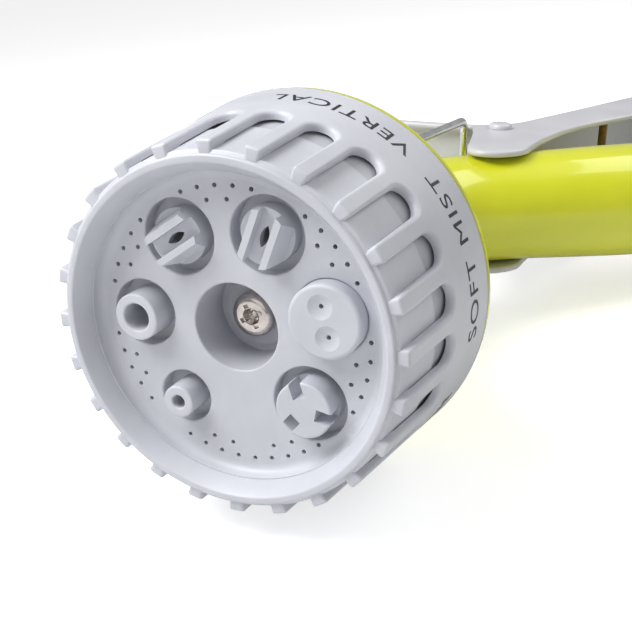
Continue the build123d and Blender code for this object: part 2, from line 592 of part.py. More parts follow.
def lever_wedge(inset):
    """Block as wide as the trigger at each height, for its flare towards the lower end."""
    top, end = LEVER_HALF_TOP - inset, LEVER_HALF_END - inset
    stations = [(0, top), (LEVER_FLARE_FROM, top), (LEVER_FLARE_TO, end), (AXIS_HEIGHT + 20, end)]
    points = [(half, 0, AXIS_HEIGHT - drop) for drop, half in stations]
    points += [(-half, 0, AXIS_HEIGHT - drop) for drop, half in reversed(stations)]
    return extrude(make_face(Polyline(*points, close=True)), 100, dir=(0, 1, 0), both=True)


def lever_outline(front, rear):
    """Side outline of the trigger between a smooth front edge and a smooth rear edge."""
    front_points, rear_points = [side_point(p) for p in front], [side_point(p) for p in rear]
    edges = Spline(*front_points) + Spline(*rear_points)
    edges += Line(front_points[-1], rear_points[0]) + Line(rear_points[-1], front_points[0])
    return extrude(make_face(edges), 2 * LEVER_HALF_END, dir=(1, 0, 0), both=True)


def trigger_lever():
    outer = lever_outline(LEVER_FRONT, LEVER_REAR) & lever_wedge(0)
    inside = [(drop, reach - LEVER_WEB_REACH) for drop, reach in LEVER_REAR]
    inside = [(inside[0][0] - LEVER_WEB, inside[0][1])] + inside[1:] + [(0, inside[-1][1])]
    opening = [(0, -40), (inside[0][0], -40)]
    lever = outer - (lever_outline(opening, inside) & lever_wedge(LEVER_CHEEK))
    top, knee, tip = LEVER_REAR[-1], TAIL_KNEE, TAIL_END
    tail = [(top[0] + 1, top[1] - LEVER_WEB), top, knee, tip, (tip[0] - 0.3, tip[1] - TAIL_THICK),
            (knee[0] + 0.6, knee[1] - TAIL_THICK - 0.2), (top[0], top[1] - TAIL_THICK)]
    lever += side_plate(tail, TAIL_WIDTH)
    lever -= along_x(Cylinder(RIVET_R + RUN_GAP, 4 * LEVER_HALF_END), PIVOT)
    lever -= along_x(Cylinder(CROSS_PIN_R + SEAT_GAP, 4 * LEVER_HALF_END), CROSS_PIN)
    return lever


def pivot_pin():
    outside = LEVER_HALF_TOP + SEAT_GAP
    pin = Cylinder(RIVET_R, 2 * outside)
    for side in (0, 180):
        cap = rod(RIVET_HEAD_R, outside, outside + RIVET_HEAD_HIGH)
        cap = fillet(cap.edges().filter_by(GeomType.CIRCLE).group_by(Axis.Z)[-1], RIVET_HEAD_HIGH * 0.8)
        pin += Rot(side, 0, 0) * cap
    return along_x(pin, PIVOT)


def lock_clip():
    inner = CLIP_EAR_SPAN / 2 - CLIP_EYE_DEPTH + 0.4
    a, b = side_point(CLIP_PIVOT), side_point(CLIP_BAR)
    path = FilletPolyline((inner, a[1], a[2]), (CLIP_HALF, a[1], a[2]), (CLIP_HALF, b[1], b[2]),
                          (-CLIP_HALF, b[1], b[2]), (-CLIP_HALF, a[1], a[2]), (-inner, a[1], a[2]),
                          radius=[CLIP_WIRE_R * 1.2, CLIP_BEND, CLIP_BEND, CLIP_WIRE_R * 1.2])
    return sweep(Plane(path @ 0, z_dir=path % 0) * Circle(CLIP_WIRE_R), path)


# ---------------------------------------------------------------- hose inlet

def inlet_collar():
    collar = rod(COLLAR_R, 0, HANDLE_END_Z - SEAT_GAP)
    collar = fillet(collar.edges().filter_by(GeomType.CIRCLE), 1.0)
    collar += rod(HANDLE_BORE_R - SEAT_GAP, HANDLE_END_Z - 1, COLLAR_SPIGOT_TOP)
    groove = Pos(COLLAR_R + 0.4, 0, HANDLE_END_Z / 2) * Cylinder(1.3, HANDLE_END_Z - 6)
    collar -= [Rot(0, 0, 360 / COLLAR_RIBS * k) * groove for k in range(COLLAR_RIBS)]
    collar -= rod(INLET_R, -1, INLET_DEPTH)
    collar -= rod(WASHER_SEAT_R, INLET_DEPTH, INLET_DEPTH + WASHER_SEAT_DEPTH)
    collar -= rod(COLLAR_PASSAGE_R, 0, COLLAR_SPIGOT_TOP + 1)
    return collar


def hose_washer():
    top = INLET_DEPTH + WASHER_SEAT_DEPTH - SEAT_GAP
    return tube(WASHER_SEAT_R - SEAT_GAP, HOSE_WASHER_IN_R, top - HOSE_WASHER_THICK, top)


def filter_screen():
    low = INLET_DEPTH + WASHER_SEAT_DEPTH + 0.5
    disc = rod(COLLAR_PASSAGE_R - SEAT_GAP, low, low + SCREEN_THICK)
    steps = range(-4, 5)
    holes = []
    for i in steps:
        for j in steps:
            x, y = SCREEN_PITCH * (i + 0.5 * (j % 2)), SCREEN_PITCH * 0.866 * j
            if math.hypot(x, y) < COLLAR_PASSAGE_R - 1.4:
                holes.append(Pos(x, y, 0) * rod(SCREEN_HOLE_R, low - 1, low + SCREEN_THICK + 1))
    return disc - holes


# ---------------------------------------------------------------- write every node

os.makedirs("parts", exist_ok=True)

save("dial_cover", head * dial_cover())
save("nozzle_plate", head * nozzle_plate())
save("dial_manifold", head * dial_manifold())
tips = {
    "big_bore_tip": (JET_WIDE_AT, tube_tip(WIDE_RECESS_R, WIDE_OUT_R, WIDE_BORE_R)),
    "small_jet_tip": (JET_FINE_AT, tube_tip(FINE_RECESS_R, FINE_OUT_R, FINE_BORE_R)),
    "cone_tip": (CONE_AT, cone_tip()),
    "mist_tip": (MIST_AT, mist_tip()),
    "vertical_fan_tip": (VERTICAL_AT, fan_tip(0)),
    "flat_fan_tip": (FLAT_AT, fan_tip(90)),
    "cone_swirl": (CONE_AT, swirl()),
    "mist_swirl": (MIST_AT, swirl()),
}
for name, (angle, tip) in tips.items():
    save(name, head * spot(angle, TIP_CIRCLE_R) * tip)

save("handle_shell", handle_shell())
save("hub_insert", head * hub_insert())
seal_front = MANIFOLD_BACK_Z - SEAT_GAP
seal_back = seal_front - SEAL_LENGTH
save("outlet_seal", head * spot(0, TIP_CIRCLE_R) * tube(SEAL_R, PORT_R, seal_back, seal_front))
save("seal_spring", head * spot(0, TIP_CIRCLE_R) * spring(
    SEAL_R - 0.6, SEAL_WIRE_R, SOCKET_END_Z + SEAT_GAP, seal_back - SEAT_GAP, 2.5))
ball_z = MANIFOLD_BACK_Z + BALL_PROUD - BALL_R
ball_at = spot(180, DETENT_CIRCLE_R)
save("detent_ball", head * ball_at * Pos(0, 0, ball_z) * Sphere(BALL_R))
save("detent_spring", head * ball_at * spring(
    BALL_R - 0.45, DETENT_WIRE_R, HUB_BACK_Z + DETENT_FLOOR + SEAT_GAP, ball_z - BALL_R - SEAT_GAP, 4))
save("dial_screw", head * dial_screw())
washer_low = WELL_FLOOR_Z + SPINDLE_PROUD + SEAT_GAP
save("screw_washer", head * tube(WASHER_R, SCREW_SHANK_R + SEAT_GAP, washer_low, washer_low + WASHER_THICK))
ring_path_r = HUB_JOURNAL_R + RUN_GAP / 2 - HUB_RING_R
save("hub_ring", head * Pos(0, 0, hub_ring_z()) * Torus(ring_path_r, HUB_RING_R))

save("valve_cage", valve_cage())
save("gland_nut", gland_nut())
gland_ring_y = GLAND_FLOOR_Y + GLAND_RING_R + SEAT_GAP
save("gland_ring", along_y(Pos(0, 0, gland_ring_y) * Torus(STEM_R + RUN_GAP + GLAND_RING_R, GLAND_RING_R),
                           valve_height))
save("valve_stem", valve_stem())
poppet_ring = tube(POPPET_R, STEM_R + SEAT_GAP, poppet_front(), SEAT_Y - SEAT_GAP)
save("poppet_seal", along_y(poppet_ring, valve_height))
flange_front = poppet_front() - SEAT_GAP - STEM_FLANGE_THICK
save("valve_spring", along_y(spring(
    STEM_FLANGE_R - 0.5, VALVE_WIRE_R, CHAMBER_FRONT_Y + SEAT_GAP, flange_front - SEAT_GAP, 3.5), valve_height))

save("trigger_lever", trigger_lever())
cross_half = LEVER_HALF_TOP + (LEVER_HALF_END - LEVER_HALF_TOP) * 0.3
save("stem_cross_pin", along_x(Cylinder(CROSS_PIN_R, 2 * cross_half), CROSS_PIN))
save("pivot_pin", pivot_pin())
save("lock_clip", lock_clip())

save("inlet_collar", inlet_collar())
save("hose_washer", hose_washer())
save("filter_screen", filter_screen())
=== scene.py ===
# %% [markdown]
# # A garden hose spray nozzle
# The nozzle has a round grey dial with seven spray patterns, a lime metal handle, and a grey
# rear trigger with a wire hold clip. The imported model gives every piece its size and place, so
# this script only dresses it: rounder shapes where light catches an edge, labels, and finishes.

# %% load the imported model
import json
import math

import bmesh
import bpy
import numpy as np
from mathutils import Matrix, Vector

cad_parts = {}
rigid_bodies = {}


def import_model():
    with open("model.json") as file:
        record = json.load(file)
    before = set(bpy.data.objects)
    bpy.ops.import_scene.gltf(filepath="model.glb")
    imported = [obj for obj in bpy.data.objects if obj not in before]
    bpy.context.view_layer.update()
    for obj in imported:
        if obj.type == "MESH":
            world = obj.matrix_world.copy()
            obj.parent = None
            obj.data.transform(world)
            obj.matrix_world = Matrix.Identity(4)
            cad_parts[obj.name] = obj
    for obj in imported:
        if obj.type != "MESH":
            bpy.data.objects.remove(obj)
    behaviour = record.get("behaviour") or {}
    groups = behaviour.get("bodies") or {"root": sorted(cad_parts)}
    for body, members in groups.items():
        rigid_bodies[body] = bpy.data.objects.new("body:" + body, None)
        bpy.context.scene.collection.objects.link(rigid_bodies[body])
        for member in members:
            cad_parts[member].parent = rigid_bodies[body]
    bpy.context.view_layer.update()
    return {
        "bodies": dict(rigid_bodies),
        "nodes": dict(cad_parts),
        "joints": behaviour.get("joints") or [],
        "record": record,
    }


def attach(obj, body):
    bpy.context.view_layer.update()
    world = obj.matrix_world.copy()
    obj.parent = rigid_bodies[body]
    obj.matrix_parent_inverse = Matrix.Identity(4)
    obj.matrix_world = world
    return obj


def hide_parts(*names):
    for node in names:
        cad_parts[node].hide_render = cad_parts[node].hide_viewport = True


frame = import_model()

MM = 0.001
bodies, nodes = frame["bodies"], frame["nodes"]
joints = {joint["name"]: joint for joint in frame["joints"]}

# %% [markdown]
# Everything on the dial is easiest to place in the dial's own directions: `up_dial` points from
# the dial's middle to the selected tip, `across` runs sideways, and `spray` points out of the
# face. They come from the joint that the dial turns on, so they follow the model.

# %% directions of the dial
AXIS_HEIGHT = 130.0
spray = np.array(joints["dial_turn"]["axis"], float)
face = np.array(joints["dial_turn"]["pos_m"], float)
across = np.array([1.0, 0.0, 0.0])
up_dial = np.cross(spray, across)
up_dial *= np.sign(up_dial[2])


def on_dial(angle, radius, height):
    """Row-frame points from dial angle, radius and height.

    The angle is in degrees, counter-clockwise from the front; radius and height are in mm.
    """
    a = np.radians(np.asarray(angle, float))
    radius, height = np.asarray(radius, float), np.asarray(height, float)
    ring = np.cos(a)[..., None] * up_dial - np.sin(a)[..., None] * across
    return face + MM * (radius[..., None] * ring + height[..., None] * spray)


def side_place(drop, reach, half):
    """Row-frame points from drop below the axis crossing, reach behind the handle's axis, and X, in mm."""
    return np.stack(np.broadcast_arrays(half, reach, AXIS_HEIGHT - np.asarray(drop, float)), -1) * MM


print("dial face at", np.round(face / MM, 2), "mm, spray direction", np.round(spray, 3))

# %% [markdown]
# The camera stands in front of the dial and a little to the side, so that the dial's rim and
# the handle behind it both show. Its place is written in the dial's own directions. The lens
# gives a horizontal view of about 37 degrees.

# %% camera
CAMERA_DOWN, CAMERA_SIDE, CAMERA_OUT = 71.0, 58.8, 128.9
LOOK = (-0.3742, -0.3607, -0.8543)
TOP = (-0.1481, 0.9327, -0.3289)
LENS = 54.2


def dial_vector(parts):
    """Direction from its shares along the dial's down, across and spray directions."""
    return -parts[0] * up_dial + parts[1] * across + parts[2] * spray


camera_data = bpy.data.cameras.new("view_camera")
camera_data.lens = LENS
camera_data.sensor_width = 36.0
camera_data.clip_start = 0.01
camera = bpy.data.objects.new("view_camera", camera_data)
bpy.context.scene.collection.objects.link(camera)
look = Vector(dial_vector(LOOK)).normalized()
side = look.cross(Vector(dial_vector(TOP))).normalized()
camera.matrix_world = Matrix((side, side.cross(look), -look)).transposed().to_4x4()
camera.location = Vector(face + MM * dial_vector((CAMERA_DOWN, CAMERA_SIDE, CAMERA_OUT)))
bpy.context.scene.camera = camera
print("camera at", [round(c, 4) for c in camera.location])

# %% [markdown]
# ## Helpers for meshes
# New pieces are grids: arrays of points, computed at once, whose neighbours are joined into
# four-sided faces. A grid can close on itself in either direction, as a tube or a ring does.

# %% mesh helpers
collection = bpy.context.scene.collection
SAME_POINT, NO_LENGTH = 1e-6, 1e-7


def grid_faces(rows, columns, wrap_rows=False, wrap_columns=False, start=0):
    """Quads that join a rows-by-columns grid of points; a wrapped direction joins its end to its start."""
    index = start + np.arange(rows * columns).reshape(rows, columns)
    if wrap_rows:
        index = np.vstack([index, index[:1]])
    if wrap_columns:
        index = np.hstack([index, index[:, :1]])
    quads = np.stack([index[:-1, :-1], index[:-1, 1:], index[1:, 1:], index[1:, :-1]], -1)
    return quads.reshape(-1, 4)


def make_piece(name, points, faces, smooth_angle=40.0):
    """Object from points (metres, row frame) and faces; doubles are merged and faces turned outwards."""
    mesh = bpy.data.meshes.new(name)
    corners_of_faces = [list(map(int, face_corners)) for face_corners in faces]
    mesh.from_pydata(np.asarray(points, float).reshape(-1, 3).tolist(), [], corners_of_faces)
    built = bmesh.new()
    built.from_mesh(mesh)
    bmesh.ops.remove_doubles(built, verts=built.verts, dist=SAME_POINT)
    bmesh.ops.dissolve_degenerate(built, edges=built.edges, dist=NO_LENGTH)
    bmesh.ops.recalc_face_normals(built, faces=built.faces)
    built.to_mesh(mesh)
    built.free()
    mesh.shade_smooth()
    mesh.set_sharp_from_angle(angle=math.radians(smooth_angle))
    piece = bpy.data.objects.new(name, mesh)
    collection.objects.link(piece)
    print(name, len(mesh.vertices), "points", len(mesh.polygons), "faces")
    return piece


def arc(centre, radius, start, end, steps):
    """Circular arc in a plane: centre plus radius times (cos, sin), from start to end in degrees."""
    a = np.radians(np.linspace(start, end, steps))
    return np.stack([centre[0] + radius * np.cos(a), centre[1] + radius * np.sin(a)], -1)


def turned_grid(angle, profile):
    """Rows of points: each (radius, height) of the profile at every angle about the dial axis."""
    same = 0 * angle
    return on_dial(angle + 0 * profile[:, :1], profile[:, :1] + same, profile[:, 1:] + same)


def ring_piece(name, profile, turns):
    """Solid turned about the dial axis from a closed outline of (radius, height) points."""
    profile = np.asarray(profile, float)
    angle = np.arange(turns) * 360.0 / turns
    points = turned_grid(angle, profile)
    return make_piece(name, points, grid_faces(len(profile), turns, True, True))


# %% [markdown]
# ## Finishes
# Several finishes share the same small effects, so each effect is a node group: fine grain of a
# moulded surface, slow blotches of tone, and thin scratches. A group only puts out masks and
# heights, and the shader with its plain values stays in the material.

# %% shared effects
def effect_group(name, inputs, outputs):
    """Empty shader node group with inputs {name: default} and float outputs; returns it and its ends."""
    group = bpy.data.node_groups.new(name, "ShaderNodeTree")
    for label, default in inputs.items():
        socket = group.interface.new_socket(label, in_out="INPUT", socket_type="NodeSocketFloat")
        socket.default_value = default
    for label in outputs:
        group.interface.new_socket(label, in_out="OUTPUT", socket_type="NodeSocketFloat")
    return group, group.nodes.new("NodeGroupInput"), group.nodes.new("NodeGroupOutput")


def add_node(tree, kind, **settings):
    """New node with its settings; a value for an input is given as its name in capital letters."""
    node = tree.nodes.new(kind)
    for key, value in settings.items():
        if key.isupper():
            node.inputs[key.replace("_", " ").title()].default_value = value
        else:
            setattr(node, key, value)
    return node


def grain_group():
    """Moulded skin: two sizes of noise give a fine height, and a slow noise gives a tone mask."""
    group, start, end = effect_group("moulded_skin", {"Fine": 2200.0, "Slow": 60.0}, ["Height", "Tone"])
    place = add_node(group, "ShaderNodeTexCoord")
    fine = add_node(group, "ShaderNodeTexNoise", DETAIL=3.0, ROUGHNESS=0.55)
    slow = add_node(group, "ShaderNodeTexNoise", DETAIL=4.0, ROUGHNESS=0.6)
    for noise, scale in ((fine, "Fine"), (slow, "Slow")):
        group.links.new(place.outputs["Object"], noise.inputs["Vector"])
        group.links.new(start.outputs[scale], noise.inputs["Scale"])
    group.links.new(fine.outputs["Fac"], end.inputs["Height"])
    group.links.new(slow.outputs["Fac"], end.inputs["Tone"])
    return group


def scratch_group():
    """Handling marks: noise stretched a long way along one direction, of which only the peaks are kept."""
    group, start, end = effect_group("fine_scratches", {"Scale": 90.0, "Cut": 0.64}, ["Mask"])
    place = add_node(group, "ShaderNodeTexCoord")
    mapping = add_node(group, "ShaderNodeMapping")
    mapping.inputs["Rotation"].default_value = (0.5, 0.9, 0.3)
    mapping.inputs["Scale"].default_value = (1.0, 14.0, 1.0)
    noise = add_node(group, "ShaderNodeTexNoise", DETAIL=5.0, ROUGHNESS=0.7)
    span = add_node(group, "ShaderNodeMapRange")
    span.inputs["From Max"].default_value = 0.8
    group.links.new(place.outputs["Object"], mapping.inputs["Vector"])
    group.links.new(mapping.outputs["Vector"], noise.inputs["Vector"])
    group.links.new(start.outputs["Scale"], noise.inputs["Scale"])
    group.links.new(noise.outputs["Fac"], span.inputs["Value"])
    group.links.new(start.outputs["Cut"], span.inputs["From Min"])
    group.links.new(span.outputs["Result"], end.inputs["Mask"])
    return group


SKIN, SCRATCHES = grain_group(), scratch_group()
print("effects", SKIN.name, SCRATCHES.name)

# %% [markdown]
# A finish is one Principled shader. Its colour drifts a little between two tones, its roughness
# follows the same blotches and the scratches, and the fine grain bumps it. The sizes of the
# grain are in metres because the pattern reads object coordinates.

# %% one function for every finish


def finish(name, tone, tone_low, rough, rough_high, bump=0.1, bump_depth=2e-5, fine=2200.0, slow=60.0,
           cut=0.66, scratch_scale=90.0, scratch_rough=0.12, **plain):
    """Material from two tones, a roughness range, a grain and scratches.

    Any other keyword names a socket of the shader and the plain value that it gets.
    """
    material = bpy.data.materials.new(name)
    material.use_nodes = True
    tree = material.node_tree
    tree.nodes.clear()
    out = add_node(tree, "ShaderNodeOutputMaterial")
    shader = add_node(tree, "ShaderNodeBsdfPrincipled")
    skin = add_node(tree, "ShaderNodeGroup", node_tree=SKIN)
    skin.inputs["Fine"].default_value, skin.inputs["Slow"].default_value = fine, slow
    marks = add_node(tree, "ShaderNodeGroup", node_tree=SCRATCHES)
    marks.inputs["Scale"].default_value, marks.inputs["Cut"].default_value = scratch_scale, cut
    colour = add_node(tree, "ShaderNodeMix", data_type="RGBA")
    colour.inputs["A"].default_value, colour.inputs["B"].default_value = (*tone_low, 1.0), (*tone, 1.0)
    spread = add_node(tree, "ShaderNodeMapRange")
    spread.inputs["From Min"].default_value, spread.inputs["From Max"].default_value = 0.35, 0.65
    gloss = add_node(tree, "ShaderNodeMapRange")
    gloss.inputs["To Min"].default_value, gloss.inputs["To Max"].default_value = rough, rough_high
    worn = add_node(tree, "ShaderNodeMath", operation="MULTIPLY_ADD")
    worn.inputs[1].default_value = scratch_rough
    relief = add_node(tree, "ShaderNodeBump")
    relief.inputs["Strength"].default_value, relief.inputs["Distance"].default_value = bump, bump_depth
    link = tree.links.new
    link(skin.outputs["Tone"], spread.inputs["Value"])
    link(spread.outputs["Result"], colour.inputs["Factor"])
    link(colour.outputs["Result"], shader.inputs["Base Color"])
    link(spread.outputs["Result"], gloss.inputs["Value"])
    link(marks.outputs["Mask"], worn.inputs[0])
    link(gloss.outputs["Result"], worn.inputs[2])
    link(worn.outputs["Value"], shader.inputs["Roughness"])
    link(skin.outputs["Height"], relief.inputs["Height"])
    link(relief.outputs["Normal"], shader.inputs["Normal"])
    link(shader.outputs["BSDF"], out.inputs["Surface"])
    for socket, value in plain.items():
        shader.inputs[socket.replace("_", " ")].default_value = value
    return material


# %% [markdown]
# The dial is moulded in light, slightly cool grey plastic with a satin skin. The handle is
# die-cast metal under glossy lime enamel, so it gets a clear coat over a saturated yellow green.
# The trigger wears a paler grey enamel. Screw, wire and springs are bare metals.

# %% the finishes
GREY = finish("dial_grey_plastic", (0.60, 0.61, 0.66), (0.54, 0.55, 0.60), 0.36, 0.46, bump=0.25,
              bump_depth=1.5e-5, Subsurface_Weight=0.06, Subsurface_Scale=0.0015,
              Subsurface_Radius=(1.0, 0.9, 0.8), IOR=1.5)
INNER_GREY = finish("inner_grey_plastic", (0.50, 0.51, 0.55), (0.45, 0.46, 0.50), 0.4, 0.5, bump=0.2)
LIME = finish("lime_enamel", (0.70, 0.72, 0.008), (0.64, 0.67, 0.006), 0.26, 0.34, bump=0.12,
              bump_depth=3e-5, fine=420.0, slow=30.0, Coat_Weight=0.8, Coat_Roughness=0.06, IOR=1.5)
LEVER_GREY = finish("trigger_grey_enamel", (0.62, 0.62, 0.66), (0.57, 0.57, 0.61), 0.3, 0.4, bump=0.15,
                    bump_depth=2.5e-5, fine=700.0, Coat_Weight=0.3, Coat_Roughness=0.15)
CHROME = finish("screw_plating", (0.66, 0.61, 0.58), (0.46, 0.41, 0.39), 0.08, 0.2, bump=0.35,
                bump_depth=3e-5, fine=900.0, slow=300.0, cut=0.56, scratch_scale=500.0, Metallic=1.0)
WIRE = finish("bright_wire", (0.86, 0.87, 0.88), (0.74, 0.75, 0.76), 0.16, 0.28, bump=0.3,
              bump_depth=2e-5, fine=1800.0, slow=200.0, scratch_scale=400.0, Metallic=1.0)
SPRING = finish("spring_wire", (0.55, 0.55, 0.56), (0.45, 0.45, 0.46), 0.25, 0.35, Metallic=1.0)
BRASS = finish("turned_brass", (0.78, 0.58, 0.26), (0.66, 0.46, 0.18), 0.22, 0.32, slow=200.0, Metallic=1.0)
BROWN = finish("browned_pin", (0.30, 0.19, 0.08), (0.16, 0.09, 0.04), 0.35, 0.5, slow=400.0, Metallic=0.7)
RUBBER = finish("black_rubber", (0.035, 0.035, 0.037), (0.02, 0.02, 0.022), 0.6, 0.75, bump=0.4)
PRINT = finish("label_ink", (0.022, 0.023, 0.028), (0.014, 0.015, 0.02), 0.45, 0.6, bump=0.1)
SLOT_FINISH = {
    "grey_abs": GREY, "grey_inner": INNER_GREY, "lime_enamel": LIME, "lever_grey": LEVER_GREY,
    "wire": WIRE, "screw_chrome": CHROME, "spring_steel": SPRING, "brass": BRASS,
    "brown_pin": BROWN, "black_rubber": RUBBER,
}
for part in frame["record"]["subparts"]:
    mesh = nodes[part["node"]].data
    mesh.materials.clear()
    mesh.materials.append(SLOT_FINISH[part["material_slot"]])
print("finishes", len(SLOT_FINISH) + 1)


def dress(piece, body, slot, material, *replaced):
    """Give a new piece its finish, its body, and the model nodes that it stands for."""
    piece.data.materials.clear()
    piece.data.materials.append(material)
    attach(piece, body)
    if replaced:
        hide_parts(*replaced)
    return piece


# %% [markdown]
# ## Floor and light
# The nozzle lies on its side on a pale table, so the floor is a plane that touches the dial's
# rim, the hose collar and the end of the trigger on one side. It shows only its upper face, and
# is clear from behind, so that views from below still see the nozzle. The paper glows a little
# for the camera so that it reads as white, and hardly at all as a light on the nozzle.

# %% floor
DIAL_REST, DIAL_BEHIND = -35.8, 28.5
COLLAR_REST, TRIGGER_REST = (-17.1, 0.0, 5.0), (-17.1, 58.0, 16.0)
FLOOR_BELOW, FLOOR_HALF = 0.15, 3000.0
REST_POINTS = np.array([
    face / MM + [DIAL_REST, 0, 0] - DIAL_BEHIND * spray, COLLAR_REST, TRIGGER_REST,
])
floor_normal = np.cross(REST_POINTS[1] - REST_POINTS[0], REST_POINTS[2] - REST_POINTS[0])
floor_normal *= np.sign(floor_normal[0]) / np.linalg.norm(floor_normal)
floor_u = np.cross(floor_normal, [0, 1.0, 0])
floor_u /= np.linalg.norm(floor_u)
floor_v = np.cross(floor_normal, floor_u)
floor_centre = REST_POINTS.mean(0) - FLOOR_BELOW * floor_normal
corners = [
    floor_centre + FLOOR_HALF * (a * floor_u + b * floor_v)
    for a, b in ((-1, -1), (1, -1), (1, 1), (-1, 1))
]
floor_mesh = bpy.data.meshes.new("pale_floor")
floor_mesh.from_pydata([tuple(c * MM) for c in corners], [], [(0, 1, 2, 3)])
floor_mesh.update()
if floor_mesh.polygons[0].normal.dot(Vector(floor_normal)) < 0:
    floor_mesh.flip_normals()
floor = bpy.data.objects.new("pale_floor", floor_mesh)
collection.objects.link(floor)
GLOW_AS_LIGHT, GLOW_SEEN = 0.08, 0.62
paper = bpy.data.materials.new("pale_paper")
paper.use_nodes = True
tree = paper.node_tree
tree.nodes.clear()
paper_out = add_node(tree, "ShaderNodeOutputMaterial")
paper_shader = add_node(tree, "ShaderNodeBsdfPrincipled", ROUGHNESS=0.6)
paper_shader.inputs["Base Color"].default_value = (0.72, 0.72, 0.72, 1.0)
paper_shader.inputs["Emission Color"].default_value = (1.0, 1.0, 1.0, 1.0)
seen = add_node(tree, "ShaderNodeLightPath")
glow = add_node(tree, "ShaderNodeMapRange")
glow.inputs["To Min"].default_value, glow.inputs["To Max"].default_value = GLOW_AS_LIGHT, GLOW_SEEN
tree.links.new(seen.outputs["Is Camera Ray"], glow.inputs["Value"])
tree.links.new(glow.outputs["Result"], paper_shader.inputs["Emission Strength"])
clear = add_node(tree, "ShaderNodeBsdfTransparent")
behind = add_node(tree, "ShaderNodeNewGeometry")
choose = add_node(tree, "ShaderNodeMixShader")
tree.links.new(behind.outputs["Backfacing"], choose.inputs["Fac"])
tree.links.new(paper_shader.outputs["BSDF"], choose.inputs[1])
tree.links.new(clear.outputs["BSDF"], choose.inputs[2])
tree.links.new(choose.outputs["Shader"], paper_out.inputs["Surface"])
floor_mesh.materials.append(paper)
print("floor tilt", round(math.degrees(math.acos(abs(floor_normal[0]))), 1), "degrees")

# %% [markdown]
# The light is a big soft lamp high on the dial's upper side, a weak one in front, and one behind
# that draws a long highlight along the handle. An even pale world fills the shadows. Offsets are
# in mm along the dial's down, across and spray directions, and powers are in watts.

# %% lights


def area_light(name, offset, size, power, target=(0.0, 0.0, 0.0)):
    """Soft square light at an offset from the dial's face, aimed at a target by the dial."""
    data = bpy.data.lights.new(name, "AREA")
    data.shape, data.size, data.energy = "SQUARE", size * MM, power
    lamp = bpy.data.objects.new(name, data)
    collection.objects.link(lamp)
    lamp.location = Vector(face + MM * dial_vector(offset))
    aim = Vector(face + MM * dial_vector(target))
    lamp.rotation_euler = (aim - lamp.location).to_track_quat("-Z", "Y").to_euler()
    return lamp


area_light("key_light", (-260.0, 400.0, 170.0), 300.0, 3.2)
area_light("front_fill", (-40.0, 160.0, 560.0), 420.0, 0.3)
area_light("rear_light", (300.0, 380.0, -330.0), 320.0, 0.9, target=(60.0, 0.0, -90.0))
world = bpy.data.worlds.new("studio_world")
bpy.context.scene.world = world
world.use_nodes = True
world.node_tree.nodes["Background"].inputs["Color"].default_value = (1.0, 1.0, 1.0, 1.0)
world.node_tree.nodes["Background"].inputs["Strength"].default_value = 0.34
bpy.context.scene.view_settings.view_transform = "Standard"

# %% [markdown]
# ## Dial cover
# The cover is a moulded cup with 24 slots from its front edge, so that ribs like the teeth of a
# comb give wet fingers a grip. On the real part every rim is rounded by the mould. A grid is the
# clean way to get those soft rims: it starts on the middle of each rib, spreads to the edge of
# the slots, turns over the rim and runs down the slot wall. The measures come from the model.

# %% measure the dial


def dial_coordinates(node):
    """Angle (degrees), radius and height (mm) about the dial axis for every point of a model piece."""
    mesh = nodes[node].data
    points = np.zeros(len(mesh.vertices) * 3)
    mesh.vertices.foreach_get("co", points)
    away = (points.reshape(-1, 3) - face) / MM
    height, up, left = away @ spray, away @ up_dial, -away @ across
    return np.degrees(np.arctan2(left, up)) % 360, np.hypot(up, left), height


BACK_FACE_DEPTH = 0.01
_, cover_radii, cover_heights = dial_coordinates("dial_cover")
LIP_TOP_Z, COVER_BACK_Z = cover_heights.max(), cover_heights.min()
COVER_BACK_R = cover_radii.max()
WALL = COVER_BACK_R - cover_radii[cover_heights < COVER_BACK_Z + BACK_FACE_DEPTH].min()
COVER_FRONT_Z, COVER_FRONT_R = 5.1, 32.1
LIP_R, LIP_WALL, SLOPE_FOOT_R, SLOPE_FOOT_Z = 28.45, 1.5, 26.85, 2.37
LIP_OUT, SLOT_FLOOR_GAP = LIP_R + LIP_WALL, 0.15
SKIRT_Z = -17.5
SLOT_COUNT, SLOT_START, SLOT_HALF, SLOT_ARC_Z = 24, 10.9, 2.7, -9.8
HALF_PITCH = 180.0 / SLOT_COUNT
SKIRT_COLUMNS = 7
RIB_CORNER, RIB_CREST_DROP = 0.55, 1.4
ROUND_FRONT, ROUND_END, ROUND_BACK = 0.5, 0.85, 0.8
LIP_BLEND_FROM, LIP_BLEND_OVER = 1.0, 3.0
print("cover heights", round(COVER_BACK_Z, 2), "to", round(LIP_TOP_Z, 2), "wall", round(WALL, 2))


def cover_r(z):
    """Radius of the cover's cone at height z."""
    slope = (COVER_FRONT_R - COVER_BACK_R) / (COVER_FRONT_Z - COVER_BACK_Z)
    return COVER_BACK_R + slope * (np.asarray(z, float) - COVER_BACK_Z)


def floor_r(z):
    """Radius of the slot floors, a cone just inside the cover's wall."""
    return cover_r(z) - WALL - SLOT_FLOOR_GAP


def bore_r(z):
    """Inside of the comb: the wall's bore, which draws in to the lip's ring near the front."""
    near_front = np.clip((np.asarray(z, float) - LIP_BLEND_FROM) / LIP_BLEND_OVER, 0, 1)
    return cover_r(z) - WALL + near_front * (LIP_OUT - cover_r(z) + WALL)


# %% slotted cover


